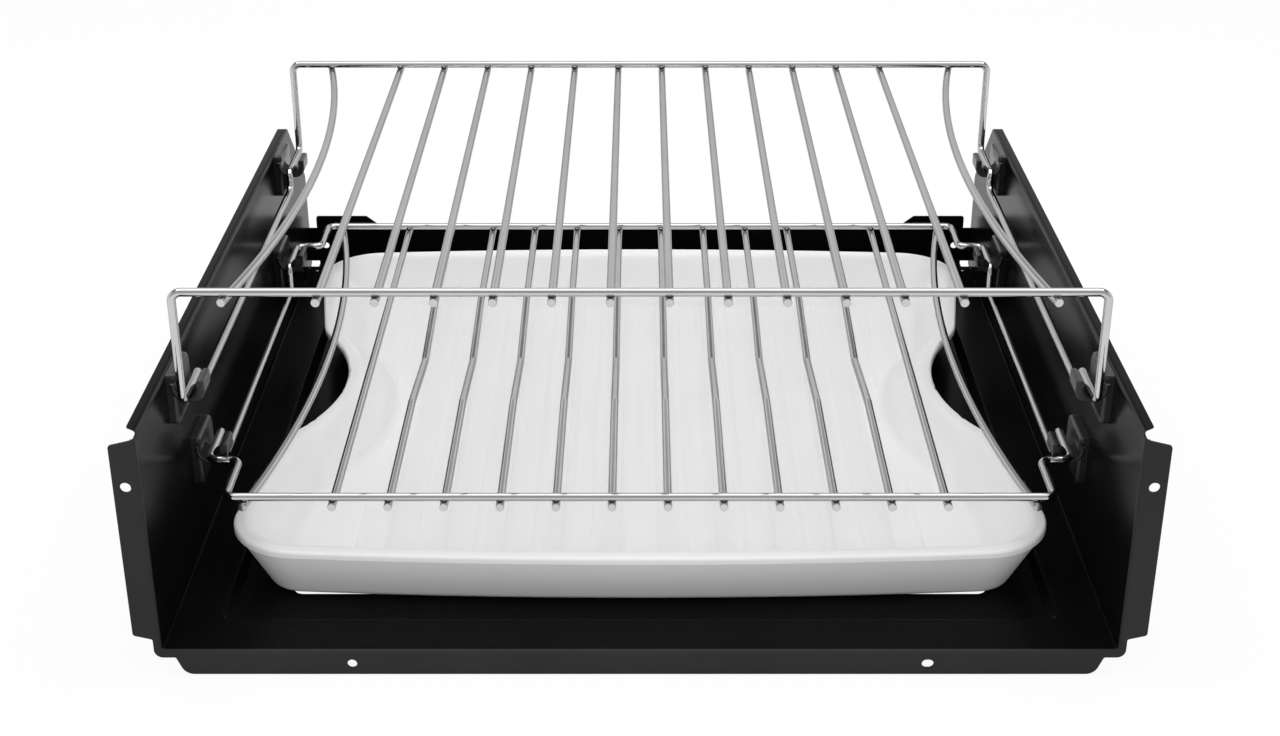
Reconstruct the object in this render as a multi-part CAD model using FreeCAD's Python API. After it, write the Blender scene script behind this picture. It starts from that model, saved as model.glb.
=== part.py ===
import FreeCAD, Part
import math
import os

V = FreeCAD.Vector

# Pan: one bent steel sheet, open at the front. Millimetres throughout.
SHEET = 1.0
INSIDE_WIDTH = 440.0            # between the side walls
INSIDE_DEPTH = 458.4            # front face to back wall
WALL_HEIGHT = 112.0             # floor to the top of the side walls
BEND = 1.2                      # inside radius of every fold
TOP_FLANGE = 5.4                # folded outward along the top of each wall
TOP_FLANGE_FRONT = 6.0          # setback of that flange from the front face
TOP_FLANGE_SKEW = 4.0           # its front end is cut at an angle by this much
WALL_CHAMFER = 50.0             # sloping cut at the top rear of each wall
WALL_CHAMFER_R = 8.0
RELIEF_R = 2.0                  # round relief between the top and the front flange

# Front face: side flanges, a narrow rim round the corners and a lip below
SIDE_FLANGE = 12.1
SIDE_FLANGE_TOP = 2.0           # below the top of the wall
SIDE_FLANGE_BOTTOM = 5.7        # above the floor
SIDE_FLANGE_SLOPE = 14.0        # degrees, at both ends
SIDE_FLANGE_R = 1.5
FLANGE_HOLE_D = 5.0
FLANGE_HOLE_DROP = 25.8         # below the top of the wall
RIM = 3.3
RIM_R = 4.0
FACE_CORNER_R = 1.0             # inside corners beside the rim
LIP = 12.4                      # floor to the lower edge of the lip
LIP_INSET = 6.4                 # from the side wall to the start of the lip
LIP_SLOPE = 3.8                 # how far its ends slope in
LIP_R = 6.0
LIP_HOLE_D = 4.5
LIP_SLOT = 5.5                  # the right-hand hole is a short slot
LIP_HOLE_SPACING = 265.2
LIP_HOLE_EDGE = 5.7             # hole centre above the lower edge

# Back wall with a tab near each end
BACK_HEIGHT = 25.2
TAB_HEIGHT = 8.5                # above the back wall
TAB_WIDTH = 33.3                # along its top
TAB_SLOPE = 11.1                # run of its sloping inner end
TAB_GAP = 5.2                   # from the side wall
TAB_R = 1.5
BACK_HOLE_D = 4.5
BACK_HOLE_INSET = 10.4          # from the side wall
BACK_HOLE_HEIGHT = 12.9
CORNER_RELIEF = 5.6             # square cut where floor, wall and back meet
CORNER_RELIEF_RISE = 1.9        # how far that cut runs up the back wall
PIN_HOLE_D = 3.0                # small hole in the floor at each rear corner
PIN_HOLE_INSET = 5.5            # from the side wall
PIN_HOLE_BACK = 11.6            # from the back wall

# Shallow well pressed into the floor, where the dish stands
WELL_DEPTH = 3.5
WELL_INSET = 23.0               # its edge from the side walls
WELL_END_GAP = 27.2             # and from the front face and the back wall
WELL_SLOPE = 45.0               # degrees, its sides
WELL_R = 5.0

# Rack holders: a plate on the wall with an upturned hook
PLATE_LENGTH = 30.5
PLATE_HEIGHT = 25.8
PLATE_T = 4.5
PLATE_R = 6.0                   # rear corners
PLATE_FRONT_R = 1.8             # front corners
PLATE_EDGE_R = 1.6
HOOK_LENGTH = 14.5
HOOK_AHEAD = 3.0                # hook's front face ahead of the plate
HOOK_GROOVE_R = 5.2
HOOK_FLOOR = 2.0                # thickness round the groove
HOOK_LUG_T = 3.4
HOOK_LUG_RISE = 6.7             # top of the lug above the wire's centre
HOOK_EDGE_R = 0.8
HOOK_BOTTOM_R = 6.0             # round bottom of the hook below the lug
HOOK_LUG_R = 1.2                # top edges of the lug
GUSSET_DROP = 11.8              # sloping web below the hook
GUSSET_REACH = 5.5              # out from the plate
GUSSET_T = 5.0
GUSSET_R = 0.8
PLATE_ABOVE = 1.5               # top of the plate above the top of the lug
UPPER_FRONT_HOOK = 58.7         # hook's front face behind the pan's front face
LOWER_FRONT_HOOK = 91.0
UPPER_REAR_HOOK = 101.4         # hook's front face ahead of the back wall
LOWER_REAR_HOOK = 127.9
UPPER_WIRE_DROP = 9.2           # wire in the upper hooks, below the wall's top
LOWER_WIRE_HEIGHT = 52.4        # wire in the lower hooks, above the floor

# Screw and locating peg of each holder
SCREW_D = 4.0
SCREW_HEAD_D = 8.0
SCREW_HEAD_H = 2.6
SCREW_CROWN_R = 1.2
SCREW_SLOT = 1.2
SCREW_BACK = 8.0                # from the rear end of the plate
SCREW_SKIN = 1.0                # plate left in front of the screw's hole
SCREW_TIP_GAP = 0.5             # between the screw's tip and the end of its hole
SCREW_FIT = 0.05                # radial, in the plate
HOLE_FIT = 0.25                 # radial, in the wall
PEG_D = 5.0
PEG_FRONT = 8.0                 # from the front end of the plate
PEG_UP = 7.0                    # above the lower edge of the plate

# Wire racks
WIRE_D = 4.0
ROD_D = 4.0
WIRE_BEND = 4.5                 # centre-line radius of the bends
REST_GAP = 0.3                  # between a lifted-out piece and its seat
WELD_SINK = 0.3                 # how far a rod sinks into the rail
ROD_OVERHANG = 3.8              # rod ends past the rail's centre
ROD_END_CHAMFER = 0.1
ROD_COUNT = 12                  # straight rods
ROD_MARGIN = 24.7               # outer straight rod to the middle of the bowed rod
BOWED_ROD_INSET = 22.9          # end of the bowed rod from the side run
ROD_BOW = 17.5
UPPER_RAIL_RISE = 54.9          # rails above the wire in the hooks
UPPER_STEP = 10.8               # side run below the wire in the hooks
LOWER_STEP = 16.1
LEG_AHEAD = 7.5                 # front leg ahead of the hook
LEG_BEHIND = 22.3               # rear leg behind the hook
STEP_AHEAD = 3.0                # rear step ahead of the hook
UPPER_STEP_BEHIND = 13.1        # front step behind the hook
LOWER_STEP_BEHIND = 15.2
CRANK_AHEAD = 3.6               # front crank ahead of the lower hook
CRANK_BEHIND = 15.8             # rear crank behind the lower hook
CRANK_IN = 14.8                 # how far the crank leads in from the side run
DIP = 7.8                       # depth of the V in the middle rods
DIP_HALF_LENGTH = 65.5
DIP_BEND = 3.0

# Dish
DISH_SIDE_GAP = 22.1            # rim to side wall
DISH_FRONT_GAP = 35.4           # rim to front face
DISH_BACK_GAP = 42.9            # rim to back wall
DISH_HEIGHT = 31.5
DISH_END_R = 2400.0             # gentle curve of the two ends
DISH_CORNER_R = 35.0
DISH_SIDE_ANGLE = 9.0           # degrees, the long sides lead in to the notch
NOTCH_DEPTH = 34.7              # middle of the notch inside the widest point
NOTCH_R = 106.0
NOTCH_BLEND_R = 40.0
RIM_BAND = 3.6                  # height of the rolled rim
RIM_STEP = 1.0                  # rim stands out past the wall
RIM_WIDTH = 7.0
RIM_ROUND = 1.7
RIM_INNER_ROUND = 6.0
SIDE_TAPER = 16.6               # base inside the wall's top edge at the long sides
END_TAPER = 12.3                # and at the two ends
BASE_ROUND = 5.0
FOOT_WIDTH = 10.0               # foot ring round the underside
FOOT_RISE = 3.5                 # underside above the foot
DISH_FLOOR_T = 6.0
INSIDE_TAPER = 21.0             # inner floor inside the rim's inner edge
INSIDE_ROUND = 8.0
INSIDE_CORNER_R = 24.0
RIB_COUNT = 20
RIB_PITCH = 14.6
RIB_WIDTH = 5.4
RIB_HEIGHT = 0.55
RIB_END_GAP = 10.0              # rib's end to the inner wall's foot

# Opening in the floor under the dish
SIDE_LEDGE = 12.0               # floor under the dish's base at each side
END_LEDGE = 5.8                 # and at the middle of each end
OPENING_R = 5.0

# The origin is under the middle of the pan, level with the lip's lower edge
HALF_WIDTH = INSIDE_WIDTH / 2
FRONT = -(INSIDE_DEPTH + SHEET) / 2
BACK = FRONT + INSIDE_DEPTH
FLOOR = LIP
WALL_TOP = FLOOR + WALL_HEIGHT

SIDES = {"left": -1, "right": 1}
NEAR = 0.01                     # two points closer than this are the same


def save(shape, name):
    shape.exportStep("parts/" + name + ".step")


def mirror_x(shape):
    return shape.mirror(V(0, 0, 0), V(1, 0, 0))


def on_side(shape, side):
    return shape if side > 0 else mirror_x(shape)


def rounded(points, radii, closed=True):
    """A wire through the points, with a tangent arc of the given radius at each."""
    count = len(points)
    corners = []
    for i, point in enumerate(points):
        radius = radii[i] if isinstance(radii, list) else radii
        if radius == 0 or (not closed and i in (0, count - 1)):
            corners.append([point])
            continue
        to_last = (points[i - 1] - point).normalize()
        to_next = (points[(i + 1) % count] - point).normalize()
        half = to_last.getAngle(to_next) / 2
        reach = radius / math.tan(half)
        inward = (to_last + to_next).normalize()
        middle = point + inward * (radius / math.sin(half) - radius)
        corners.append([point + to_last * reach, middle, point + to_next * reach])
    edges = []
    for i, corner in enumerate(corners):
        if len(corner) == 3:
            edges.append(Part.Arc(*corner).toShape())
        if closed or i < count - 1:
            start, end = corner[-1], corners[(i + 1) % count][0]
            if (end - start).Length > NEAR:
                edges.append(Part.LineSegment(start, end).toShape())
    return Part.Wire(Part.__sortEdges__(edges))


def prism(points, radii, along):
    return Part.Face(rounded(points, radii)).extrude(along)


def cylinder(diameter, base, along):
    return Part.makeCylinder(diameter / 2, along.Length, base, along)


def block(low, high):
    size = high - low
    return Part.makeBox(size.x, size.y, size.z, low)


def bent_rod(points, bend, diameter):
    path = rounded(points, bend, closed=False)
    start = (points[1] - points[0]).normalize()
    ring = Part.Wire(Part.makeCircle(diameter / 2, points[0], start))
    return path.makePipeShell([ring], True, False)


# Pan

def section():
    """Floor, walls and top flanges, cut square to the depth."""
    wall, top, low = HALF_WIDTH, WALL_TOP, FLOOR
    outer = BEND + SHEET
    right = [
        (wall, low, BEND), (wall, top, outer),
        (wall + TOP_FLANGE, top, 0), (wall + TOP_FLANGE, top - SHEET, 0),
        (wall + SHEET, top - SHEET, BEND), (wall + SHEET, low - SHEET, outer),
    ]
    left = [(-x, z, r) for x, z, r in reversed(right)]
    corners = right + left
    points = [V(x, FRONT, z) for x, z, r in corners]
    return prism(points, [r for x, z, r in corners], V(0, INSIDE_DEPTH + SHEET, 0))


def wall_outline():
    """Side view of the walls, with the sloping cut at the top rear."""
    rear = BACK + SHEET
    low = FLOOR - LIP
    corners = [
        V(-HALF_WIDTH * 2, FRONT, low), V(-HALF_WIDTH * 2, rear, low),
        V(-HALF_WIDTH * 2, rear, WALL_TOP - WALL_CHAMFER),
        V(-HALF_WIDTH * 2, rear - WALL_CHAMFER, WALL_TOP), V(-HALF_WIDTH * 2, FRONT, WALL_TOP),
    ]
    return prism(corners, [0, 0, WALL_CHAMFER_R, WALL_CHAMFER_R, 0], V(HALF_WIDTH * 4, 0, 0))


def front_outline():
    """Side flanges, rim and lip, seen from the front."""
    slope = SIDE_FLANGE * math.tan(math.radians(SIDE_FLANGE_SLOPE))
    rim_slope = (SIDE_FLANGE - RIM) * math.tan(math.radians(SIDE_FLANGE_SLOPE))
    top = WALL_TOP - SIDE_FLANGE_TOP
    bottom = FLOOR + SIDE_FLANGE_BOTTOM + slope
    edge = HALF_WIDTH + SIDE_FLANGE
    lip_start = HALF_WIDTH - LIP_INSET
    right = [
        (lip_start - LIP_SLOPE, FLOOR - LIP, LIP_R), (lip_start, FLOOR - RIM, FACE_CORNER_R),
        (HALF_WIDTH + RIM, FLOOR - RIM, RIM_R),
        (HALF_WIDTH + RIM, bottom - rim_slope, FACE_CORNER_R),
        (edge, bottom, SIDE_FLANGE_R), (edge, top - slope, SIDE_FLANGE_R), (HALF_WIDTH, top, 0),
    ]
    left = [(-x, z, r) for x, z, r in reversed(right)]
    corners = right + left
    points = [V(x, FRONT, z) for x, z, r in corners]
    return prism(points, [r for x, z, r in corners], V(0, SHEET, 0))


def front_blank():
    """A plain plate round the mouth, as large as the flanges and the lip."""
    edge = HALF_WIDTH + SIDE_FLANGE
    plate = block(V(-edge, FRONT, FLOOR - LIP), V(edge, FRONT + SHEET, WALL_TOP - SIDE_FLANGE_TOP))
    wall, low = HALF_WIDTH, FLOOR
    corners = [
        V(-wall, FRONT, low), V(wall, FRONT, low),
        V(wall, FRONT, WALL_TOP), V(-wall, FRONT, WALL_TOP),
    ]
    return plate.cut(prism(corners, [BEND, BEND, 0, 0], V(0, SHEET, 0)))


def back_wall():
    top = FLOOR + BACK_HEIGHT
    tab_end = HALF_WIDTH - TAB_GAP
    right = [
        (HALF_WIDTH, FLOOR - SHEET, 0), (HALF_WIDTH, top, 0), (tab_end, top, 0),
        (tab_end, top + TAB_HEIGHT, TAB_R), (tab_end - TAB_WIDTH, top + TAB_HEIGHT, TAB_R),
        (tab_end - TAB_WIDTH - TAB_SLOPE, top, TAB_R),
    ]
    left = [(-x, z, r) for x, z, r in reversed(right)]
    corners = right + left
    points = [V(x, BACK, z) for x, z, r in corners]
    return prism(points, [r for x, z, r in corners], V(0, SHEET, 0))


def pan_cuts():
    """Everything that is taken out of the folded sheet."""
    cuts = []
    through = V(0, SHEET * 3, 0)
    flange_hole_x = HALF_WIDTH + (SIDE_FLANGE + SHEET) / 2
    lip_z = FLOOR - LIP + LIP_HOLE_EDGE
    for side in SIDES.values():
        # the top flange stops short at the front, with a round relief beside it
        outside = HALF_WIDTH + SHEET
        far = HALF_WIDTH + TOP_FLANGE * 2
        start = FRONT + TOP_FLANGE_FRONT
        fold = WALL_TOP - BEND - SHEET
        ends = [
            V(outside, FRONT, fold), V(far, FRONT, fold),
            V(far, start + TOP_FLANGE_SKEW * (far - outside) / TOP_FLANGE, fold),
            V(outside, start, fold),
        ]
        cuts.append(on_side(prism(ends, 0, V(0, 0, WALL_TOP + SHEET - fold)), side))
        relief = V(HALF_WIDTH - SHEET, start - RELIEF_R, WALL_TOP)
        cuts.append(on_side(cylinder(RELIEF_R * 2, relief, V(far - relief.x, 0, 0)), side))
        # mounting holes in the flange, the lip and the back
        hole = V(side * flange_hole_x, FRONT - SHEET, WALL_TOP - FLANGE_HOLE_DROP)
        cuts.append(cylinder(FLANGE_HOLE_D, hole, through))
        hole = V(side * (HALF_WIDTH - BACK_HOLE_INSET), BACK - SHEET, FLOOR + BACK_HOLE_HEIGHT)
        cuts.append(cylinder(BACK_HOLE_D, hole, through))
        stretch = (LIP_SLOT - LIP_HOLE_D) / 2 if side > 0 else 0
        for shift in {-stretch, stretch}:
            hole = V(side * LIP_HOLE_SPACING / 2 + shift, FRONT - SHEET, lip_z)
            cuts.append(cylinder(LIP_HOLE_D, hole, through))
        if stretch:
            low = V(LIP_HOLE_SPACING / 2 - stretch, FRONT - SHEET, lip_z - LIP_HOLE_D / 2)
            cuts.append(block(low, low + V(stretch * 2, SHEET * 3, LIP_HOLE_D)))
        # a small hole in the floor at the rear corner
        pin = V(side * (HALF_WIDTH - PIN_HOLE_INSET), BACK - PIN_HOLE_BACK, FLOOR - SHEET * 2)
        cuts.append(cylinder(PIN_HOLE_D, pin, V(0, 0, SHEET * 3)))
        # holder screws and pegs
        for hook_y, wire_z in HOOKS.values():
            across = V(SHEET * 3, 0, 0)
            screw_y, screw_z, peg_y, peg_z = holder_points(hook_y, wire_z)
            spot = V(HALF_WIDTH - SHEET, screw_y, screw_z)
            cuts.append(on_side(cylinder(SCREW_D + HOLE_FIT * 2, spot, across), side))
            spot = V(HALF_WIDTH - SHEET, peg_y, peg_z)
            cuts.append(on_side(cylinder(PEG_D + HOLE_FIT * 2, spot, across), side))
    return cuts


def floor_opening():
    half_x = HALF_WIDTH - DISH_SIDE_GAP - RIM_STEP - SIDE_TAPER - SIDE_LEDGE
    half_y = DISH_HALF_LENGTH - RIM_STEP - END_TAPER - END_LEDGE
    z = FLOOR - WELL_DEPTH - SHEET * 2
    corners = [
        V(-half_x, DISH_Y - half_y, z), V(half_x, DISH_Y - half_y, z),
        V(half_x, DISH_Y + half_y, z), V(-half_x, DISH_Y + half_y, z),
    ]
    return prism(corners, OPENING_R, V(0, 0, SHEET * 3))


def same(a, b):
    return abs(a - b) < NEAR


def edges_where(shape, test):
    return [edge for edge in shape.Edges if all(test(v.Point) for v in edge.Vertexes)]


def folded_front(body):
    """The sheet turned out round the mouth, then trimmed to the flanges and the lip."""
    top = WALL_TOP - SIDE_FLANGE_TOP
    relief = FRONT + TOP_FLANGE_FRONT - RELIEF_R
    wide = HALF_WIDTH + SIDE_FLANGE + SHEET
    body = body.cut(block(V(-wide, FRONT, top), V(wide, relief, WALL_TOP + SHEET)))
    body = body.fuse(front_blank()).removeSplitter()
    wall, low = HALF_WIDTH + NEAR, FLOOR - NEAR
    mouth = edges_where(body, lambda p: same(p.y, FRONT) and abs(p.x) < wall and p.z > low)
    body = body.makeFillet(BEND + SHEET, mouth)
    wall, low, rear = wall + SHEET, low - SHEET, FRONT + SHEET
    behind = edges_where(body, lambda p: same(p.y, rear) and abs(p.x) < wall and p.z > low)
    body = body.makeFillet(BEND, behind)
    around = block(V(-wide, FRONT, FLOOR - LIP), V(wide, FRONT + SHEET, top))
    return body.cut(around.cut(front_outline()))


def folded_back(body):
    """The back wall, turned up from the floor between the corner reliefs."""
    body = body.fuse(back_wall())
    for side in SIDES.values():
        low = V(HALF_WIDTH - CORNER_RELIEF, BACK - CORNER_RELIEF, FLOOR - SHEET * 2)
        high = V(HALF_WIDTH, BACK + SHEET * 2, FLOOR + CORNER_RELIEF_RISE)
        body = body.cut(on_side(block(low, high), side))
    body = body.removeSplitter()
    reach = HALF_WIDTH - CORNER_RELIEF + NEAR
    for y, z, radius in ((BACK, FLOOR, BEND), (BACK + SHEET, FLOOR - SHEET, BEND + SHEET)):
        fold = edges_where(body, lambda p: abs(p.x) < reach and same(p.y, y) and same(p.z, z))
        body = body.makeFillet(radius, fold)
    return body


def well_outline(inset, z):
    """Upper edge of the well, drawn in by the inset."""
    half_x = HALF_WIDTH - WELL_INSET - inset
    front, rear = FRONT + WELL_END_GAP + inset, BACK - WELL_END_GAP - inset
    corners = [
        V(-half_x, front, z), V(half_x, front, z), V(half_x, rear, z), V(-half_x, rear, z),
    ]
    return rounded(corners, WELL_R - inset)


def pressed_well(body):
    """The floor let down where the dish stands."""
    slope = math.radians(WELL_SLOPE)
    low = FLOOR - WELL_DEPTH
    run, past = WELL_DEPTH / math.tan(slope), SHEET / math.tan(slope)
    hollow = Part.makeLoft([well_outline(run, low), well_outline(-past, FLOOR + SHEET)], True, True)
    hollow = hollow.makeFillet(BEND, edges_where(hollow, lambda p: same(p.z, low)))
    skin = SHEET * math.tan(slope / 2)
    under = Part.makeLoft([
        well_outline(run - skin, low - SHEET), well_outline(-skin - past / 2, FLOOR - SHEET / 2),
    ], True, True)
    under = under.makeFillet(BEND + SHEET, edges_where(under, lambda p: same(p.z, low - SHEET)))
    body = body.fuse(under).cut(hollow).removeSplitter()
    wide = HALF_WIDTH - WELL_INSET + NEAR
    front, rear = FRONT + WELL_END_GAP - NEAR, BACK - WELL_END_GAP + NEAR
    rim = edges_where(body, lambda p: same(p.z, FLOOR) and abs(p.x) < wide and front < p.y < rear)
    return body.makeFillet(BEND + SHEET, rim)


def pan():
    body = folded_front(section().common(wall_outline()))
    body = pressed_well(folded_back(body))
    return body.cut(pan_cuts() + [floor_opening()]).removeSplitter()


# Rack holders

HOOK_OUT = PLATE_T + HOOK_GROOVE_R       # wire's centre from the wall
GROOVE_LOW = WIRE_D / 2 + REST_GAP       # bottom of the groove below the wire's centre

HOOKS = {
    "upper_front": (FRONT + UPPER_FRONT_HOOK, WALL_TOP - UPPER_WIRE_DROP),
    "upper_rear": (BACK - UPPER_REAR_HOOK, WALL_TOP - UPPER_WIRE_DROP),
    "lower_front": (FRONT + LOWER_FRONT_HOOK, FLOOR + LOWER_WIRE_HEIGHT),
    "lower_rear": (BACK - LOWER_REAR_HOOK, FLOOR + LOWER_WIRE_HEIGHT),
}


def plate_span(hook_y, wire_z):
    top = wire_z + HOOK_LUG_RISE + PLATE_ABOVE
    front = hook_y + HOOK_AHEAD
    return front, front + PLATE_LENGTH, top - PLATE_HEIGHT, top


def holder_points(hook_y, wire_z):
    front, rear, low, top = plate_span(hook_y, wire_z)
    return rear - SCREW_BACK, (low + top) / 2, front + PEG_FRONT, low + PEG_UP


def holder(hook_y, wire_z):
    """A holder on the right-hand wall."""
    front, rear, low, top = plate_span(hook_y, wire_z)
    corners = [V(HALF_WIDTH, y, z) for y, z in ((front, low), (rear, low), (rear, top), (front, top))]
    plate = prism(corners, [PLATE_FRONT_R, PLATE_R, PLATE_R, PLATE_FRONT_R], V(-PLATE_T, 0, 0))
    face = HALF_WIDTH - PLATE_T
    plate = plate.makeFillet(PLATE_EDGE_R, edges_where(plate, lambda p: same(p.x, face)))
    lug_in = face - HOOK_GROOVE_R * 2
    lug_out = lug_in - HOOK_LUG_T
    groove = wire_z - GROOVE_LOW
    under = groove - HOOK_FLOOR
    lug_top = wire_z + HOOK_LUG_RISE
    root, arm_top = face + HOOK_FLOOR, groove + HOOK_GROOVE_R + HOOK_FLOOR
    corners = [
        (root, under, HOOK_GROOVE_R + HOOK_FLOOR), (lug_out, under, HOOK_BOTTOM_R),
        (lug_out, lug_top, HOOK_LUG_R), (lug_in, lug_top, HOOK_LUG_R),
        (lug_in, groove, HOOK_GROOVE_R), (face, groove, HOOK_GROOVE_R),
        (face, arm_top, 0), (root, arm_top, 0),
    ]
    points = [V(x, hook_y, z) for x, z, r in corners]
    hook = prism(points, [r for x, z, r in corners], V(0, HOOK_LENGTH, 0))
    ends = edges_where(hook, lambda p: same(p.y, hook_y))
    ends += edges_where(hook, lambda p: same(p.y, hook_y + HOOK_LENGTH))
    hook = hook.makeFillet(HOOK_EDGE_R, ends)
    screw_y, screw_z, peg_y, peg_z = holder_points(hook_y, wire_z)
    peg = cylinder(PEG_D, V(HALF_WIDTH - PLATE_T / 2, peg_y, peg_z), V(PLATE_T / 2 + SHEET, 0, 0))
    body = plate.fuse([hook, gusset(hook_y, face, under), peg])
    spot = V(face + SCREW_SKIN, screw_y, screw_z)
    return body.cut(cylinder(SCREW_D + SCREW_FIT * 2, spot, V(PLATE_T, 0, 0))).removeSplitter()


def gusset(hook_y, face, under):
    """The web below a hook, set back from the hook's front."""
    front = hook_y + (HOOK_LENGTH - GUSSET_T) / 2
    root, tip, foot = face + PLATE_T / 2, face - GUSSET_REACH, under - GUSSET_DROP
    corners = [
        (root, foot), (face, foot), (tip, under), (tip, under + HOOK_FLOOR / 2),
        (face, under + HOOK_FLOOR * 2), (root, under + HOOK_FLOOR * 2),
    ]
    web = prism([V(x, front, z) for x, z in corners], 0, V(0, GUSSET_T, 0))
    slope = [edge for edge in web.Edges if same(edge.CenterOfMass.z, under - GUSSET_DROP / 2)]
    return web.makeFillet(GUSSET_R, slope)


def screw(hook_y, wire_z):
    """A slotted screw through the right-hand wall into a holder."""
    screw_y, screw_z, peg_y, peg_z = holder_points(hook_y, wire_z)
    seat = HALF_WIDTH + SHEET
    shank = PLATE_T + SHEET - SCREW_SKIN - SCREW_TIP_GAP
    body = cylinder(SCREW_D, V(seat - shank, screw_y, screw_z), V(shank + SHEET, 0, 0))
    head = cylinder(SCREW_HEAD_D, V(seat, screw_y, screw_z), V(SCREW_HEAD_H, 0, 0))
    crown = edges_where(head, lambda p: same(p.x, seat + SCREW_HEAD_H))
    head = head.makeFillet(SCREW_CROWN_R, crown)
    low = V(seat + SCREW_HEAD_H / 2, screw_y - SCREW_SLOT / 2, screw_z - SCREW_HEAD_D)
    cut = block(low, low + V(SCREW_HEAD_H, SCREW_SLOT, SCREW_HEAD_D * 2))
    return body.fuse(head.cut(cut))


# Racks

SIDE_RUN = HALF_WIDTH - HOOK_OUT
BOWED_X = SIDE_RUN - BOWED_ROD_INSET
OUTER_ROD_X = BOWED_X - ROD_BOW - ROD_MARGIN
ROD_PITCH = OUTER_ROD_X * 2 / (ROD_COUNT - 1)
FRONT_RAIL = HOOKS["upper_front"][0] - LEG_AHEAD
REAR_RAIL = HOOKS["upper_rear"][0] + HOOK_LENGTH + LEG_BEHIND
UPPER_RAIL_Z = HOOKS["upper_front"][1] + UPPER_RAIL_RISE
LOWER_RAIL_Z = HOOKS["lower_front"][1]
ROD_BELOW = (WIRE_D + ROD_D) / 2 - WELD_SINK


def wire_frame(right_half):
    """Both halves of a bent wire, joined in the middle of its rails."""
    half = bent_rod(right_half, WIRE_BEND, WIRE_D)
    return half.fuse(mirror_x(half)).removeSplitter()


def upper_frame():
    front_hook, wire_z = HOOKS["upper_front"]
    rear_hook = HOOKS["upper_rear"][0]
    step_front = front_hook + HOOK_LENGTH + UPPER_STEP_BEHIND
    step_rear = rear_hook - STEP_AHEAD
    run_z = wire_z - UPPER_STEP
    x = SIDE_RUN
    return wire_frame([
        V(0, FRONT_RAIL, UPPER_RAIL_Z), V(x, FRONT_RAIL, UPPER_RAIL_Z), V(x, FRONT_RAIL, wire_z),
        V(x, step_front, wire_z), V(x, step_front, run_z), V(x, step_rear, run_z),
        V(x, step_rear, wire_z), V(x, REAR_RAIL, wire_z), V(x, REAR_RAIL, UPPER_RAIL_Z),
        V(0, REAR_RAIL, UPPER_RAIL_Z),
    ])


def lower_frame():
    front_hook, wire_z = HOOKS["lower_front"]
    rear_hook = HOOKS["lower_rear"][0]
    crank_front = front_hook - CRANK_AHEAD
    crank_rear = rear_hook + HOOK_LENGTH + CRANK_BEHIND
    step_front = front_hook + HOOK_LENGTH + LOWER_STEP_BEHIND
    step_rear = rear_hook - STEP_AHEAD
    run_z = wire_z - LOWER_STEP
    x = SIDE_RUN
    inner = SIDE_RUN - CRANK_IN
    return wire_frame([
        V(0, FRONT_RAIL, wire_z), V(inner, FRONT_RAIL, wire_z), V(inner, crank_front, wire_z),
        V(x, crank_front, wire_z), V(x, step_front, wire_z), V(x, step_front, run_z),
        V(x, step_rear, run_z), V(x, step_rear, wire_z), V(x, crank_rear, wire_z),
        V(inner, crank_rear, wire_z), V(inner, REAR_RAIL, wire_z), V(0, REAR_RAIL, wire_z),
    ])


def trimmed(rod):
    """The rod with a small chamfer round each cut end."""
    ends = [edge for edge in rod.Edges if edge.Closed and abs(edge.BoundBox.YLength) < ROD_D / 2]
    return rod.makeChamfer(ROD_END_CHAMFER, ends)


def straight_rod(x, z):
    start = FRONT_RAIL - ROD_OVERHANG
    length = REAR_RAIL + ROD_OVERHANG - start
    return trimmed(cylinder(ROD_D, V(x, start, z), V(0, length, 0)))


def dipped_rod(x, z):
    start, end = FRONT_RAIL - ROD_OVERHANG, REAR_RAIL + ROD_OVERHANG
    middle = (start + end) / 2
    points = [
        V(x, start, z), V(x, middle - DIP_HALF_LENGTH, z), V(x, middle, z - DIP),
        V(x, middle + DIP_HALF_LENGTH, z), V(x, end, z),
    ]
    return trimmed(bent_rod(points, DIP_BEND, ROD_D))


def bowed_rod(z):
    """The right-hand bowed rod: each half is a round bar turned about the centre of its curve."""
    start, end = FRONT_RAIL - ROD_OVERHANG, REAR_RAIL + ROD_OVERHANG
    half = (end - start) / 2
    radius = (half ** 2 + ROD_BOW ** 2) / (ROD_BOW * 2)
    middle = V(BOWED_X - ROD_BOW, start + half, z)
    bar = Part.Face(Part.Wire(Part.makeCircle(ROD_D / 2, middle, V(0, 1, 0))))
    sweep = math.degrees(math.asin(half / radius))
    front, rear = [bar.revolve(middle + V(radius, 0, 0), V(0, 0, way), sweep) for way in (1, -1)]
    return trimmed(front.fuse(rear).removeSplitter())


def save_rods(rack, rail_z, dipped):
    z = rail_z - ROD_BELOW
    for i in range(ROD_COUNT):
        x = -OUTER_ROD_X + i * ROD_PITCH
        inner = 0 < i < ROD_COUNT - 1
        rod = dipped_rod(x, z) if dipped and inner else straight_rod(x, z)
        save(rod, "%s_rack_rod_%02d" % (rack, i + 1))
    for name, side in SIDES.items():
        save(on_side(bowed_rod(z), side), "%s_rack_bowed_rod_%s" % (rack, name))


# Dish

DISH_HALF_WIDTH = HALF_WIDTH - DISH_SIDE_GAP
DISH_HALF_LENGTH = (INSIDE_DEPTH - DISH_FRONT_GAP - DISH_BACK_GAP) / 2
DISH_Y = FRONT + DISH_FRONT_GAP + DISH_HALF_LENGTH
DISH_Z = FLOOR - WELL_DEPTH + REST_GAP


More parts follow.
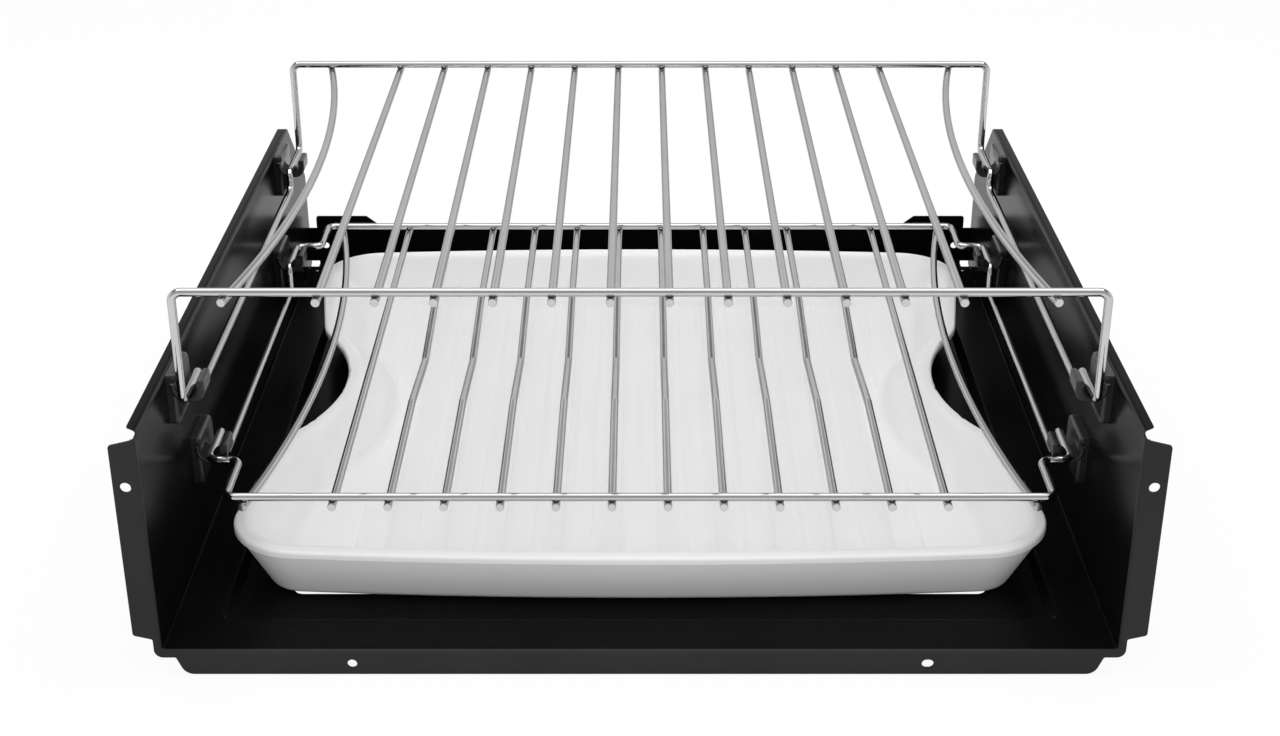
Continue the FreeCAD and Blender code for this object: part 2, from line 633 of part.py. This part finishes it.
def dish_outline(inset, end_inset, height, corner_r):
    """The dish seen from above, drawn in from the rim at the sides and at the ends."""
    slope = math.radians(DISH_SIDE_ANGLE)
    end_r = DISH_END_R - end_inset
    blend_r = NOTCH_BLEND_R - inset
    notch_r = NOTCH_R + inset
    corner_x = DISH_HALF_WIDTH - inset - corner_r
    end_centre = V(0, DISH_END_R - DISH_HALF_LENGTH, 0)
    corner = V(corner_x, end_centre.y - math.sqrt((end_r - corner_r) ** 2 - corner_x ** 2), 0)
    side = V(math.cos(slope), math.sin(slope), 0)
    notch = V(DISH_HALF_WIDTH - NOTCH_DEPTH + NOTCH_R, 0, 0)
    # the blend's centre lies inside the side line and touches the notch's circle
    run = V(-math.sin(slope), math.cos(slope), 0)
    on_line = corner + side * (corner_r - blend_r)
    along = (notch - on_line).dot(run)
    apart = (notch - on_line).dot(side)
    blend = on_line + run * (along - math.sqrt((notch_r + blend_r) ** 2 - apart ** 2))
    to_end = (corner - end_centre).normalize()
    to_notch = (notch - blend).normalize()

    def arc(centre, radius, first, last):
        middle = (first + last).normalize()
        return [centre + first * radius, centre + middle * radius, centre + last * radius]

    def flipped(points, x, y):
        return [V(p.x * x, p.y * y, 0) for p in points]

    quarter = [
        arc(end_centre, end_r, V(0, -1, 0), to_end),
        arc(corner, corner_r, to_end, side),
        [corner + side * corner_r, blend + side * blend_r],
        arc(blend, blend_r, side, to_notch),
        arc(notch, notch_r, V(0, 0, 0) - to_notch, V(-1, 0, 0)),
    ]
    right = quarter + [flipped(piece[::-1], 1, -1) for piece in reversed(quarter)]
    pieces = right + [flipped(piece[::-1], -1, 1) for piece in reversed(right)]
    edges = []
    for piece in pieces:
        points = [p + V(0, DISH_Y, DISH_Z + height) for p in piece]
        curve = Part.Arc(*points) if len(points) == 3 else Part.LineSegment(*points)
        edges.append(curve.toShape())
    return Part.Wire(edges)


def rib(x, floor):
    """A low rib along the dish, the crown of a round bar that lies in the floor."""
    radius = (RIB_WIDTH ** 2 / 4 + RIB_HEIGHT ** 2) / (RIB_HEIGHT * 2)
    half = DISH_HALF_LENGTH - RIM_WIDTH - INSIDE_TAPER - RIB_END_GAP - RIB_WIDTH / 2
    start = V(x, DISH_Y - half, floor + RIB_HEIGHT - radius)
    along = V(0, half * 2, 0)
    bar = cylinder(radius * 2, start, along)
    bar = bar.fuse([Part.makeSphere(radius, start), Part.makeSphere(radius, start + along)])
    low = V(x - RIB_WIDTH, start.y - RIB_WIDTH, floor - RIB_HEIGHT)
    return bar.common(block(low, low + along + V(RIB_WIDTH, RIB_WIDTH, RIB_HEIGHT * 2) * 2))


def dish():
    under_rim = DISH_HEIGHT - RIM_BAND
    top = DISH_Z + DISH_HEIGHT

    def concentric(inset, height):
        return dish_outline(inset, inset, height, DISH_CORNER_R - inset)

    def under(inset):
        ends = RIM_STEP + END_TAPER + inset
        sides = RIM_STEP + SIDE_TAPER + inset
        return dish_outline(sides, ends, 0, DISH_CORNER_R - sides)

    wall = Part.makeLoft([under(0), concentric(RIM_STEP, under_rim)], True, True)
    wall = wall.makeFillet(BASE_ROUND, edges_where(wall, lambda p: same(p.z, DISH_Z)))
    band = Part.Face(concentric(0, under_rim)).extrude(V(0, 0, RIM_BAND))
    band = band.makeFillet(RIM_ROUND, edges_where(band, lambda p: same(p.z, top)))
    inside = FOOT_RISE + DISH_FLOOR_T
    slanted_in = RIM_WIDTH + INSIDE_TAPER
    bottom = dish_outline(slanted_in, slanted_in, inside, INSIDE_CORNER_R)
    hollow = Part.makeLoft([bottom, concentric(RIM_WIDTH, DISH_HEIGHT)], True, True)
    floor = DISH_Z + inside
    hollow = hollow.makeFillet(INSIDE_ROUND, edges_where(hollow, lambda p: same(p.z, floor)))
    body = wall.fuse(band).cut(hollow).removeSplitter()
    body = body.makeFillet(RIM_INNER_ROUND, edges_where(body, lambda p: same(p.z, top)))
    ribs = [rib((i - (RIB_COUNT - 1) / 2) * RIB_PITCH, floor) for i in range(RIB_COUNT)]
    recess = Part.Face(under(FOOT_WIDTH)).extrude(V(0, 0, FOOT_RISE))
    return body.fuse(ribs).cut(recess).removeSplitter()


os.makedirs("parts", exist_ok=True)

save(pan(), "drawer_pan")
screws = []
for side_name, side in SIDES.items():
    for place, (hook_y, wire_z) in HOOKS.items():
        save(on_side(holder(hook_y, wire_z), side), "holder_%s_%s" % (place, side_name))
        screws.append(on_side(screw(hook_y, wire_z), side))
save(Part.makeCompound(screws), "holder_screws")

save(upper_frame(), "upper_rack_frame")
save_rods("upper", UPPER_RAIL_Z, False)
save(lower_frame(), "lower_rack_frame")
save_rods("lower", LOWER_RAIL_Z, True)

save(dish(), "dish")
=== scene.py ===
import bpy
import math
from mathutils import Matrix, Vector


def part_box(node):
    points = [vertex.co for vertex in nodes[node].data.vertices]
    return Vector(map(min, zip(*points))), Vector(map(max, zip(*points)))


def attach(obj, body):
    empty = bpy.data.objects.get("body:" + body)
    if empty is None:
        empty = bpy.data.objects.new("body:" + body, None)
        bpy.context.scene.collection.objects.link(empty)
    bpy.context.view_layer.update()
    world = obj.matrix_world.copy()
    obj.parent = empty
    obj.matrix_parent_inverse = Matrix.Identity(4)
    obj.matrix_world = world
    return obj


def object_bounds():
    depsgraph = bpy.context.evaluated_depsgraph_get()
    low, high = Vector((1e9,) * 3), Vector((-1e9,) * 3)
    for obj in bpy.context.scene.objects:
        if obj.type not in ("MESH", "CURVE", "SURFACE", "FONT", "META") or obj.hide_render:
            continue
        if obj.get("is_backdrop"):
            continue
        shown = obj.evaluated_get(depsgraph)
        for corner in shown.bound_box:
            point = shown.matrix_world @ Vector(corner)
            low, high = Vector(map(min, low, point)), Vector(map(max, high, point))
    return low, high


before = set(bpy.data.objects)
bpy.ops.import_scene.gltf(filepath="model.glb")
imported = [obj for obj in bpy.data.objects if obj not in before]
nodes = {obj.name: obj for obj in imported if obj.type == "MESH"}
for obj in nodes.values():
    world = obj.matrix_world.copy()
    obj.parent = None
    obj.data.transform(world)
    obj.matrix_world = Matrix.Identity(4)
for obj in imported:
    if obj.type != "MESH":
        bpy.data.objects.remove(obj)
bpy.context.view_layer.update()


# The drawer pan is one folded steel sheet, open at the front, with flanges for its front panel.
# Its satin enamel is painted lit and shaded: charcoal on the front and the outside, and near
# black inside and on top as painted shade, with the fine orange-peel that such a coat dries to.
def new_finish(name):
    """A named material with an empty node tree, its output and its surface shader."""
    material = bpy.data.materials.new(name)
    material.use_nodes = True
    tree = material.node_tree
    tree.nodes.clear()
    out = tree.nodes.new("ShaderNodeOutputMaterial")
    surface = tree.nodes.new("ShaderNodeBsdfPrincipled")
    tree.links.new(surface.outputs["BSDF"], out.inputs["Surface"])
    return material, tree, surface


def place(tree, stretch=(1.0, 1.0, 1.0)):
    """Object coordinates in metres, stretched along the piece where a pattern runs with it."""
    where = tree.nodes.new("ShaderNodeTexCoord")
    mapping = tree.nodes.new("ShaderNodeMapping")
    mapping.inputs["Scale"].default_value = stretch
    tree.links.new(where.outputs["Object"], mapping.inputs["Vector"])
    return mapping.outputs["Vector"]


def mottle(tree, vector, scale, detail):
    """A soft random pattern, scale is features per metre."""
    noise = tree.nodes.new("ShaderNodeTexNoise")
    noise.inputs["Scale"].default_value = scale
    noise.inputs["Detail"].default_value = detail
    tree.links.new(vector, noise.inputs["Vector"])
    return noise.outputs["Fac"]


pattern_low, pattern_high = 0.3, 0.7  # where most of a pattern's values lie


def spread(tree, value, low, high):
    """The middle of a pattern stretched over the range from low to high."""
    node = tree.nodes.new("ShaderNodeMapRange")
    node.inputs["From Min"].default_value = pattern_low
    node.inputs["From Max"].default_value = pattern_high
    node.inputs["To Min"].default_value = low
    node.inputs["To Max"].default_value = high
    tree.links.new(value, node.inputs["Value"])
    return node.outputs["Result"]


def tint(tree, value, dark, light):
    """A colour between dark and light, by the pattern."""
    ramp = tree.nodes.new("ShaderNodeValToRGB")
    ramp.color_ramp.elements[0].position = pattern_low
    ramp.color_ramp.elements[1].position = pattern_high
    ramp.color_ramp.elements[0].color = (*dark, 1.0)
    ramp.color_ramp.elements[1].color = (*light, 1.0)
    tree.links.new(value, ramp.inputs["Fac"])
    return ramp.outputs["Color"]


def relief(tree, height, depth, strength):
    """A bump of the given depth in metres."""
    bump = tree.nodes.new("ShaderNodeBump")
    bump.inputs["Distance"].default_value = depth
    bump.inputs["Strength"].default_value = strength
    tree.links.new(height, bump.inputs["Height"])
    return bump.outputs["Normal"]


def dress(node, material):
    """Gives a piece its finish."""
    nodes[node].material_slots[0].material = material


def blend_in(tree, value, nought, one):
    """Nought at the first place, one at the second and smooth between."""
    node = tree.nodes.new("ShaderNodeMapRange")
    node.interpolation_type = "SMOOTHSTEP"
    node.inputs["From Min"].default_value = nought
    node.inputs["From Max"].default_value = one
    tree.links.new(value, node.inputs["Value"])
    return node.outputs["Result"]


def combine(tree, operation, first, second=None):
    """One value worked out from one or two others."""
    node = tree.nodes.new("ShaderNodeMath")
    node.operation = operation
    tree.links.new(first, node.inputs[0])
    if second is not None:
        tree.links.new(second, node.inputs[1])
    return node.outputs[0]


def mixed(tree, share, first, second):
    """The first colour where the share is nought, the second where it is one."""
    node = tree.nodes.new("ShaderNodeMix")
    node.data_type = "RGBA"
    tree.links.new(share, node.inputs["Factor"])
    tree.links.new(first, node.inputs[6])
    tree.links.new(second, node.inputs[7])
    return node.outputs[2]


charcoal_dark, charcoal_light = (0.029, 0.029, 0.029), (0.034, 0.034, 0.0345)
# Near black of the painted shade inside the pan and on its top flanges.
black_dark, black_light = (0.0030, 0.0030, 0.0031), (0.0046, 0.0046, 0.0047)
# Where the painted shade begins: from the charcoal side of each edge to its near-black side, in
# metres.
wall_edge = (0.2208, 0.2202)
front_edge = (-0.2279, -0.2271)
back_edge = (0.2295, 0.2289)
flange_underside = (0.1230, 0.1220)
flange_top = (0.1238, 0.1242)
coat, tree, surface = new_finish("satin_enamel")
there = place(tree)
cloud = mottle(tree, there, scale=14.0, detail=3.0)
peel = mottle(tree, there, scale=1100.0, detail=2.0)
axes = tree.nodes.new("ShaderNodeSeparateXYZ")
tree.links.new(there, axes.inputs["Vector"])
# Painted shade share: one inside the pan and on its top flanges, nought on the front and
# outside.
painted_shade_share = blend_in(tree, combine(tree, "ABSOLUTE", axes.outputs["X"]), *wall_edge)
for along, edge in (("Y", front_edge), ("Y", back_edge), ("Z", flange_underside)):
    painted_shade_share = combine(tree, "MULTIPLY", painted_shade_share, blend_in(tree, axes.outputs[along], *edge))
painted_shade_share = combine(tree, "MAXIMUM", painted_shade_share, blend_in(tree, axes.outputs["Z"], *flange_top))
charcoal = tint(tree, cloud, charcoal_dark, charcoal_light)
black = tint(tree, cloud, black_dark, black_light)
tree.links.new(mixed(tree, painted_shade_share, charcoal, black), surface.inputs["Base Color"])
tree.links.new(spread(tree, cloud, low=0.20, high=0.24), surface.inputs["Roughness"])
tree.links.new(relief(tree, peel, depth=0.00006, strength=0.25), surface.inputs["Normal"])
surface.inputs["Specular IOR Level"].default_value = 0.038
dress("drawer_pan", coat)


# Eight moulded holders stand on the side walls, each a rounded plate with an upturned hook.
# They are charcoal nylon with a fine eroded texture from the mould.
nylon_dark, nylon_light = (0.012, 0.012, 0.0125), (0.017, 0.017, 0.0175)
nylon, tree, surface = new_finish("charcoal_nylon")
there = place(tree)
grain = mottle(tree, there, scale=2200.0, detail=2.0)
cloud = mottle(tree, there, scale=60.0, detail=2.0)
tree.links.new(tint(tree, cloud, nylon_dark, nylon_light), surface.inputs["Base Color"])
tree.links.new(spread(tree, grain, low=0.24, high=0.32), surface.inputs["Roughness"])
tree.links.new(relief(tree, grain, depth=0.00004, strength=0.3), surface.inputs["Normal"])
for level in ("upper", "lower"):
    for end in ("front", "rear"):
        for side in ("left", "right"):
            dress("holder_%s_%s_%s" % (level, end, side), nylon)


# A slotted screw goes through the wall from outside into each holder.
# The screws are zinc-plated steel, and the plating is dull in patches.
zinc_dark, zinc_light = (0.42, 0.42, 0.41), (0.55, 0.55, 0.54)
zinc, tree, surface = new_finish("zinc_plated_steel")
patch = mottle(tree, place(tree), scale=420.0, detail=3.0)
tree.links.new(tint(tree, patch, zinc_dark, zinc_light), surface.inputs["Base Color"])
tree.links.new(spread(tree, patch, low=0.24, high=0.40), surface.inputs["Roughness"])
surface.inputs["Metallic"].default_value = 1.0
dress("holder_screws", zinc)


# The dish is white glazed ceramic, cast in one piece with a rolled rim and low ribs inside.
# Its glaze is smooth and bright, with a slight pooling and a gentle waviness.
glaze_dark, glaze_light = (0.835, 0.835, 0.831), (0.850, 0.850, 0.847)
glaze, tree, surface = new_finish("white_glaze")
there = place(tree)
pool = mottle(tree, there, scale=18.0, detail=2.0)
wave = mottle(tree, there, scale=55.0, detail=1.0)
tree.links.new(tint(tree, pool, glaze_dark, glaze_light), surface.inputs["Base Color"])
tree.links.new(spread(tree, pool, low=0.47, high=0.53), surface.inputs["Roughness"])
tree.links.new(relief(tree, wave, depth=0.0006, strength=0.05), surface.inputs["Normal"])
surface.inputs["Specular IOR Level"].default_value = 0.18
dress("dish", glaze)


# Each rack is a bent frame of polished steel wire with twelve rods and two bowed ones below it.
# The wire is bright drawn stainless, with faint lines along the rods from the drawing die.
wire_dark, wire_light = (0.56, 0.56, 0.555), (0.60, 0.60, 0.594)
wire_edge_tint = (0.5, 0.5, 0.5, 1.0)
die_lines = 2400.0
line_stretch = 0.02
rail_end = (0.204, 0.200)
rods = range(1, 13)


def drawn_wire(name, rails):
    """Bright wire: the lines run along Y, and along X on the rails of a frame."""
    material, tree, surface = new_finish(name)
    there = place(tree)
    lines = mottle(tree, place(tree, (1.0, line_stretch, 1.0)), die_lines, detail=1.0)
    if rails:
        axes = tree.nodes.new("ShaderNodeSeparateXYZ")
        tree.links.new(there, axes.inputs["Vector"])
        on_rail = blend_in(tree, combine(tree, "ABSOLUTE", axes.outputs["X"]), *rail_end)
        rail_lines = mottle(tree, place(tree, (line_stretch, 1.0, 1.0)), die_lines, detail=1.0)
        lines = mixed(tree, on_rail, lines, rail_lines)
    haze = mottle(tree, there, scale=30.0, detail=2.0)
    tree.links.new(tint(tree, haze, wire_dark, wire_light), surface.inputs["Base Color"])
    tree.links.new(spread(tree, lines, low=0.07, high=0.10), surface.inputs["Roughness"])
    surface.inputs["Metallic"].default_value = 1.0
    surface.inputs["Specular Tint"].default_value = wire_edge_tint
    return material


rod_wire = drawn_wire("drawn_rod_steel", rails=False)
frame_wire = drawn_wire("drawn_frame_steel", rails=True)
for rack in ("lower", "upper"):
    dress("%s_rack_frame" % rack, frame_wire)
    for count in rods:
        dress("%s_rack_rod_%02d" % (rack, count), rod_wire)
    for side in ("left", "right"):
        dress("%s_rack_bowed_rod_%s" % (rack, side), rod_wire)


# Each rod is welded under the two rails, and the weld leaves a small collar of metal in the
# angle between the wires, dull, and dark as painted shade there. One is raised from a disc and
# copied.
collar_radius = 0.0012
collar_sides = 12
collar_steps = ((0.00025, 1.45), (0.0009, 1.0), (0.00025, 0.69))  # rise, widening
collar_smooth_angle = 50.0
half_wire = 0.002
half_overlap = 0.00015
bowed_inset = 0.0005
# Dark metal of the collars: painted shade in the angle between rod and rail.
weld_shade_dark, weld_shade_light = (0.05, 0.05, 0.05), (0.11, 0.11, 0.108)
bpy.ops.object.select_all(action="DESELECT")
bpy.ops.mesh.primitive_circle_add(vertices=collar_sides, radius=collar_radius, fill_type="NGON")
collar = bpy.context.object
bpy.ops.object.mode_set(mode="EDIT")
bpy.ops.mesh.select_all(action="SELECT")
height = 0.0
for rise, widen in collar_steps:
    height += rise
    bpy.ops.mesh.extrude_region_move(TRANSFORM_OT_translate={"value": (0.0, 0.0, rise)})
    bpy.ops.transform.resize(value=(widen, widen, 1.0), center_override=(0.0, 0.0, height))
bpy.ops.mesh.select_all(action="SELECT")
bpy.ops.mesh.normals_make_consistent(inside=False)
bpy.ops.object.mode_set(mode="OBJECT")
bpy.ops.object.shade_smooth_by_angle(angle=math.radians(collar_smooth_angle))
painted_weld_shade, tree, surface = new_finish("weld_painted_shade")
patch = mottle(tree, place(tree), scale=900.0, detail=2.0)
tree.links.new(tint(tree, patch, weld_shade_dark, weld_shade_light), surface.inputs["Base Color"])
tree.links.new(spread(tree, patch, low=0.35, high=0.5), surface.inputs["Roughness"])
surface.inputs["Metallic"].default_value = 1.0
collar.data.materials.append(painted_weld_shade)
for rack in ("lower", "upper"):
    rail_low, rail_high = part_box("%s_rack_frame" % rack)
    crossings = []
    for count in rods:
        low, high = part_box("%s_rack_rod_%02d" % (rack, count))
        crossings.append((low[0] + high[0]) / 2)
    low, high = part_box("%s_rack_bowed_rod_right" % rack)
    bowed = high[0] - half_wire - bowed_inset
    crossings += [-bowed, bowed]
    contact = rail_high[2] - 2 * half_wire + half_overlap
    bpy.ops.object.select_all(action="DESELECT")
    for across in crossings:
        for along in (rail_low[1] + half_wire, rail_high[1] - half_wire):
            weld = collar.copy()
            weld.data = collar.data.copy()
            weld.location = (across, along, contact - height / 2)
            bpy.context.collection.objects.link(weld)
            weld.select_set(True)
            bpy.context.view_layer.objects.active = weld
    bpy.ops.object.join()
    bpy.ops.object.transform_apply(location=True, rotation=True, scale=True)
    welds = bpy.context.object
    welds.name = "%s_rack_welds" % rack
    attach(welds, "%s_rack" % rack)
bpy.data.objects.remove(collar)


# The drawer lies on a plain white sweep of paper, level with the lower edge of its lip.
# Seen directly or in a reflection the paper is white, and it keeps a soft shadow.
paper_size = 24.0
paper_height = -0.0002
paper_colour = (0.86, 0.86, 0.86, 1.0)
paper_glow = (1.0, 1.0, 1.0, 1.0)
glow_share = 0.93
bpy.ops.object.select_all(action="DESELECT")
bpy.ops.mesh.primitive_plane_add(size=paper_size, location=(0.0, 0.0, paper_height))
paper = bpy.context.object
paper.name = "paper_floor"
bpy.ops.object.transform_apply(location=True, rotation=True, scale=True)
white = bpy.data.materials.new("white_paper")
white.use_nodes = True
tree = white.node_tree
tree.nodes.clear()
out = tree.nodes.new("ShaderNodeOutputMaterial")
lit = tree.nodes.new("ShaderNodeBsdfDiffuse")
lit.inputs["Color"].default_value = paper_colour
bright = tree.nodes.new("ShaderNodeEmission")
bright.inputs["Color"].default_value = paper_glow
bright.inputs["Strength"].default_value = 1.0
rays = tree.nodes.new("ShaderNodeLightPath")
seen = rays.outputs["Is Camera Ray"]
for ray in ("Is Glossy Ray", "Is Transmission Ray"):
    seen = combine(tree, "MAXIMUM", seen, rays.outputs[ray])
share = tree.nodes.new("ShaderNodeMath")
share.operation = "MULTIPLY"
share.inputs[1].default_value = glow_share
tree.links.new(seen, share.inputs[0])
mix = tree.nodes.new("ShaderNodeMixShader")
tree.links.new(share.outputs[0], mix.inputs["Fac"])
tree.links.new(lit.outputs["BSDF"], mix.inputs[1])
tree.links.new(bright.outputs["Emission"], mix.inputs[2])
tree.links.new(mix.outputs["Shader"], out.inputs["Surface"])
paper.data.materials.append(white)
paper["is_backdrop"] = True


# The studio is a white tent behind and at the sides, dimmer above and in front, where the
# camera stands. A broad soft box hangs overhead, and a weak fill at the front lights the
# faces that are turned to the camera.
tent_levels = ((0.36, 1.0), (0.46, 0.55), (0.64, 0.22), (0.90, 0.15))  # height, brightness
front_level = 0.5
front_reach = (-0.5, 0.0)
backdrop_level = 0.955


def grey(level):
    """A neutral colour of the given brightness."""
    return (level, level, level, 1.0)


def plain_cloth(tree, level):
    """Cloth of one neutral colour."""
    cloth = tree.nodes.new("ShaderNodeRGB")
    cloth.outputs[0].default_value = grey(level)
    return cloth.outputs[0]


studio = bpy.data.worlds.new("white_tent")
bpy.context.scene.world = studio
studio.use_nodes = True
tree = studio.node_tree
tree.nodes.clear()
out = tree.nodes.new("ShaderNodeOutputWorld")
tent = tree.nodes.new("ShaderNodeBackground")
where = tree.nodes.new("ShaderNodeTexCoord")
split = tree.nodes.new("ShaderNodeSeparateXYZ")
tree.links.new(where.outputs["Generated"], split.inputs["Vector"])
fall = tree.nodes.new("ShaderNodeValToRGB")
stops = fall.color_ramp.elements
stops[0].position, stops[1].position = tent_levels[0][0], tent_levels[-1][0]
stops[0].color, stops[1].color = grey(tent_levels[0][1]), grey(tent_levels[-1][1])
for elevation, level in tent_levels[1:-1]:
    stops.new(elevation).color = grey(level)
tree.links.new(split.outputs["Z"], fall.inputs["Fac"])
behind = blend_in(tree, split.outputs["Y"], *front_reach)
round_tent = mixed(tree, behind, plain_cloth(tree, front_level), fall.outputs["Color"])
rays = tree.nodes.new("ShaderNodeLightPath")
backdrop = plain_cloth(tree, backdrop_level)
shown = mixed(tree, rays.outputs["Is Camera Ray"], round_tent, backdrop)
tree.links.new(shown, tent.inputs["Color"])
tree.links.new(tent.outputs["Background"], out.inputs["Surface"])


def soft_light(name, spot, lean, width, depth, power):
    """A rectangular soft box, leaning back from straight down by the given angle."""
    turn = (math.radians(lean), 0.0, 0.0)
    bpy.ops.object.light_add(type="AREA", location=spot, rotation=turn)
    box = bpy.context.object
    box.name = name
    box.data.shape = "RECTANGLE"
    box.data.size = width
    box.data.size_y = depth
    box.data.energy = power
    return box


soft_light("soft_box", spot=(0.0, 0.16, 1.6), lean=0.0, width=2.4, depth=1.4, power=28.5)
front_fill = soft_light(
    "front_fill", spot=(0.0, -1.7, 0.75), lean=68.0, width=2.0, depth=1.0, power=7.5
)
front_fill.visible_glossy = False


# The camera stands in front of the drawer and looks down into it, as the photograph does.
# Its place and lens come from the perspective of the pan's straight edges.
camera_spot = (0.0, -0.97932, 0.52208)
camera_dip = 25.948
camera_turn = (math.radians(90.0 - camera_dip), 0.0, 0.0)
bpy.ops.object.camera_add(location=camera_spot, rotation=camera_turn)
camera = bpy.context.object
camera.name = "photo_camera"
camera.data.sensor_width = 36.0
camera.data.lens = 54.916
bpy.context.scene.camera = camera

bpy.context.scene.view_settings.view_transform = "Standard"

low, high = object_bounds()
